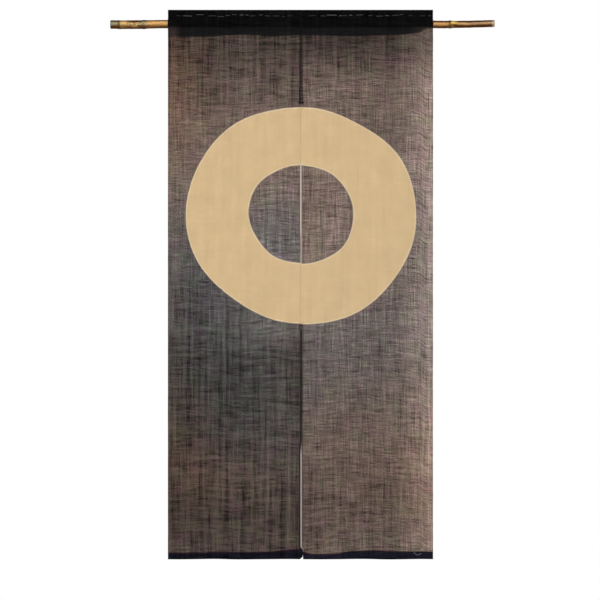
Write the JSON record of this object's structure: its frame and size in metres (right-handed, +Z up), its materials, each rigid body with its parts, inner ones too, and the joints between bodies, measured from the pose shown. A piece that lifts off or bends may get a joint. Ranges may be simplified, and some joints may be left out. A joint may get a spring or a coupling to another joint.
{
  "type": "noren curtain with rod",
  "caption": "Doorway curtain of sheer hemp panels, seamed at the top and slit below, with a rod sleeve, a hem and a large pale ring, hanging on its bamboo rod.",
  "frame": {"origin": "on the rod's axis, above the line where the two panels meet", "axes": "+Z up, +X along the rod to the viewer's right, the front of the cloth faces -Y"},
  "size_m": [1.018, 0.0262, 1.4566],
  "materials": {
    "hemp": "sheer plain weave, dyed, with an undyed ring",
    "bamboo": "smoked culm, satin",
    "thread": "twisted sewing thread, matt"
  },
  "bodies": {
    "root": {"panel_left": "hemp", "panel_right": "hemp", "rod": "bamboo"}
  },
  "joints": []
}
